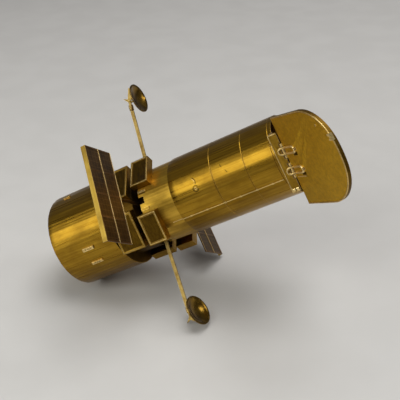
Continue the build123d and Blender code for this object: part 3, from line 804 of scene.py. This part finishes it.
ARRAY_FACE, ARRAY_OUTER = 34.25, 34.9
ARRAY_TURNS = {"array_near": (1, 1.4), "array_far": (-1, 10)}  # the side along Y, and the lean
ARRAY_LINES, ARRAY_LINE_HALF = (22.12, 28.40), 15.25
OUTER_STRIP = 0.31
LINE_HEIGHTS = (-0.02, 0.09)


def on_outer_strip(point, normal):
    return abs(point.y) > ARRAY_OUTER - OUTER_STRIP and abs(normal.y) > SQUARE


for name, (side, lean) in ARRAY_TURNS.items():
    tint(name, gold_strip_painted_highlight, on_outer_strip)
    lean = math.radians(lean)
    array_out = Vector((math.cos(lean), 0, -math.sin(lean)))
    array_along = Vector((math.sin(lean), 0, math.cos(lean)))
    array_start = AHEAD * MAST_X + array_out * (ARRAY_FACE - MAST_X)
    array_face = (body_of(name), "gold_sheet",
                  on_plane(array_start, Vector((0, side, 0)), array_along, array_out))
    for index, a in enumerate(ARRAY_LINES):
        path = [(a, -ARRAY_LINE_HALF), (a, 0), (a, ARRAY_LINE_HALF)]
        ribbon(f"{name}_line_{index}", array_face, gold_bead_painted_highlight, path, 0.17, LINE_HEIGHTS)

# ---- bay boxes: recessed panels, darkened with painted shade, inside raised borders; a is along the tube ---

BAY_TURN, BAY_FACE, BAY_RECESS, RECESS_FIT = 24, 14.8, 0.12, 0.04
BAY_SIDES = ((1, 1), (1, -1), (-1, 1), (-1, -1))
BAY_BORDERS = {  # start and end along the tube, low and high edge across the face, metal
    # the core bays' borders are in duller metal, painted shade; the shell bays' are bright with painted
    # highlight
    "core_bay": (23.1, 31.9, -3.6, 8.9, gold_fittings),
    "shell_bay": (33.5, 40.1, -1.0, 9.2, gold_bead_painted_highlight),
}
BORDER_IN, BORDER_WIDTH = 0.34, 0.24


def bay_out(side_y, side_z):
    """The way a box's face looks; side_y and side_z are 1 or -1."""
    return around(0, 1, (BAY_TURN if side_y > 0 else 180 - BAY_TURN) * side_z)


def on_panel(point, normal):
    """The recessed middle of a box's face."""
    level = BAY_FACE - BAY_RECESS
    return any(normal.dot(out) > PARALLEL and abs(point.dot(out) - level) < RECESS_FIT
               for out in (bay_out(*sides) for sides in BAY_SIDES))


# the recessed panels are darkened: painted shade
tint("core_bays", gold_panel_painted_shade, on_panel)
tint("shell_bays", gold_panel_painted_shade, on_panel)
for name, (start, end, low_edge, high_edge, material) in BAY_BORDERS.items():
    start, end = start + BORDER_IN, end - BORDER_IN
    low_edge, high_edge = low_edge + BORDER_IN, high_edge - BORDER_IN
    corners = [(start, low_edge), (end, low_edge), (end, high_edge), (start, high_edge)]
    for index, (side_y, side_z) in enumerate(BAY_SIDES):
        out = bay_out(side_y, side_z)
        across = Vector((0, out.z, -out.y)) * -side_y * side_z
        bay_face = (tube_body, "gold_matte", on_plane(out * BAY_FACE, AHEAD, across, out))
        ribbon(f"{name}_border_{index}", bay_face, material, corners, BORDER_WIDTH, LINE_HEIGHTS,
               closed=True)

# ---- engraved marks of the light shield: a small ring, a crescent above it and two dashes -----


def on_shield(x, along, height):
    """Telescope point of a place on the light shield, at a length along its round side."""
    angle = math.degrees(along / SHIELD_RADIUS)
    return around(x, SHIELD_RADIUS * (1 - shield_flats(angle)) + height, angle)


def mark_at(x, angle):
    return x, math.radians(angle) * SHIELD_RADIUS


CRESCENT_STEPS, CRESCENT_REACH, CRESCENT_BOW = 10, 0.6, 0.5


def crescent(x, angle, span):
    """Line that starts at a place on the tube, runs round it and bows forward."""
    shares = [step / CRESCENT_STEPS for step in range(CRESCENT_STEPS + 1)]
    return [mark_at(x + CRESCENT_REACH * share + CRESCENT_BOW * math.sin(math.pi * share),
                    angle + span * share) for share in shares]


shield_face = (tube_body, "gold_sheet", on_shield)
RING_MIDDLE = mark_at(55.2, 14.5)
# the ring's middle and the crescent's edge are bright with painted highlight; the engraved marks are
# dark
MARKS = {  # path, width, metal
    "ring": (arc(*RING_MIDDLE, 0.95, 20, 330, 14), 0.28, engraved_and_shadow),
    "ring_middle": (arc(*RING_MIDDLE, 0.35, 0, 315, 7), 0.22, gold_bead_painted_highlight),
    "crescent": (crescent(54.9, -2.0, 10.5), 0.30, engraved_and_shadow),
    "crescent_edge": (crescent(54.5, -1.0, 8.5), 0.16, gold_bead_painted_highlight),
    "dash_0": ([mark_at(65.0, -4.5), mark_at(65.4, 0.5)], 0.22, engraved_and_shadow),
    "dash_1": ([mark_at(66.3, 5.5), mark_at(66.8, 10.0)], 0.22, engraved_and_shadow),
}
for name, (path, width, material) in MARKS.items():
    ribbon(f"shield_mark_{name}", shield_face, material, path, width, heights=(-0.10, 0.04))

# ---- yokes: a wrap round each barrel, and a strip that widens the upper bracket's long arm ----

BOOM_X, BOOM_BASE = 34.0, 11.0
BOOMS = {"yoke_upper": (-1, 2.8, 8.9), "yoke_lower": (1, 2.8, -4.1)}  # side, lean ahead, lean along Y
BARREL_START, BARREL_LENGTH, BARREL_RADIUS = 23.8, 2.0, 0.75
HUB_ABOVE_BARREL = 0.9
WRAP_TURNS, WRAP_STEPS, WRAP_IN = 3, 24, 0.18
ARM_FOLD = [(-0.35, 1.15), (0.0, 0.55), (0.85, 0.7), (1.72, 4.5), (1.05, 4.95)]


def boom_axes(name):
    """Foot of a yoke's boom, and the directions along the boom, ahead of it and across it."""
    side, lean_ahead, lean_y = BOOMS[name]
    along = Vector((math.sin(math.radians(lean_ahead)), math.sin(math.radians(lean_y)), side))
    along.normalize()
    ahead = (AHEAD - along * along.x).normalized()
    return Vector((BOOM_X, 0, side * BOOM_BASE)), along, ahead, along.cross(ahead)


def on_barrel(name):
    """Places on a yoke's barrel: a is along it, b is the angle round it in radians."""
    foot, along, ahead, across = boom_axes(name)

    def place(a, b, height):
        radius = BARREL_RADIUS + height
        return (foot + along * (BARREL_START + a)
                + ahead * radius * math.cos(b) + across * radius * math.sin(b))

    return place


wrap_points = WRAP_TURNS * WRAP_STEPS
wrap_rise = (BARREL_LENGTH - 2 * WRAP_IN) / wrap_points
wrap = [(WRAP_IN + wrap_rise * step, 2 * math.pi * step / WRAP_STEPS)
        for step in range(wrap_points + 1)]
# the wraps are bright with painted highlight
for name in BOOMS:
    barrel_face = (body_of(name), "gold_fittings", on_barrel(name))
    ribbon(f"{name}_wrap", barrel_face, gold_bead_painted_highlight, wrap, width=0.26, heights=(-0.05, 0.10))

foot, along, ahead, across = boom_axes("yoke_upper")
hub = foot + along * (BARREL_START + BARREL_LENGTH + HUB_ABOVE_BARREL)
arm_face = (body_of("yoke_upper"), "gold_fittings", on_plane(hub, ahead, along, across))
pad("yoke_upper_arm_fold", arm_face, gold_fittings, ARM_FOLD, heights=(-0.33, 0.33), chamfer=0.08)

# ---- floor and light, in world metres and watts ------------------------------------------

FLOOR_HALF, FLOOR_HEIGHT = 4.0, -0.0003  # just under the object's lowest point
FLOOR_COLOURS = ((0.595, 0.58, 0.56), (0.61, 0.595, 0.575))


def floor_material():
    g = Graph("pale_floor")
    grain = g.noise(EVEN, scale=0.05, detail=3.0, roughness=0.5)
    base = g.blend(g.span(grain, 0.4, 0.6), *FLOOR_COLOURS)
    return g.finish(base, g.span(grain, *GLOSS_RANGE, 0.55, 0.65), grain, 0.05, 0.02, metallic=0.0)


floor_mesh = bmesh.new()
floor_mesh.faces.new([floor_mesh.verts.new((x * FLOOR_HALF, y * FLOOR_HALF, FLOOR_HEIGHT))
                      for x, y in ((-1, -1), (1, -1), (1, 1), (-1, 1))])
floor = new_object("floor", floor_mesh, floor_material())

centre = (cad_low + cad_high) / 2


def area_lamp(name, size, power, colour, offset, axes):
    """Rectangular lamp at an offset from the object's middle; it shines along its own -Z."""
    data = bpy.data.lights.new(name, "AREA")
    data.shape = "RECTANGLE"
    data.size, data.size_y = size
    data.energy = power
    data.color = colour
    lamp = bpy.data.objects.new(name, data)
    bpy.context.scene.collection.objects.link(lamp)
    lamp.matrix_world = Matrix.Translation(centre + offset) @ axes.to_4x4()


def softbox(name, offset, size, power):
    """White lamp at an offset from the object's middle, aimed at the middle."""
    offset = Vector(offset)
    axes = (-offset).to_track_quat("-Z", "Y").to_matrix()
    area_lamp(name, size, power, (1, 1, 1), offset, axes)


def strip_light(name, angle, ahead, distance, size, power, colour):
    """Lamp in line with the tube, at an angle round it and leant forward.

    Its reflection runs along the sheet as one bright band.
    """
    out = around(0, 1, angle)
    direction = (turn @ Vector((ahead, out.y, out.z))).normalized()
    long = (tube_x - direction * tube_x.dot(direction)).normalized()
    axes = Matrix((long, direction.cross(long), direction)).transposed()
    area_lamp(name, size, power, colour, direction * distance, axes)


strip_light("key", angle=-7, ahead=-0.28, distance=0.45, size=(0.60, 0.26), power=1.28,
            colour=(0.98, 1.0, 0.96))
softbox("fill", offset=(0.15, 0.1, 1.0), size=(0.7, 0.7), power=7.2)
softbox("side_light", offset=(0.56, 0.20, 0.40), size=(0.16, 0.16), power=0.5)

SKY_COLOUR, SKY_STRENGTH = (1.0, 0.985, 0.96, 1), 0.15
sky = bpy.data.worlds.new("studio")
bpy.context.scene.world = sky
sky.use_nodes = True
sky_shader = sky.node_tree.nodes["Background"]
sky_shader.inputs["Color"].default_value = SKY_COLOUR
sky_shader.inputs["Strength"].default_value = SKY_STRENGTH

bpy.context.scene.view_settings.view_transform = "Standard"
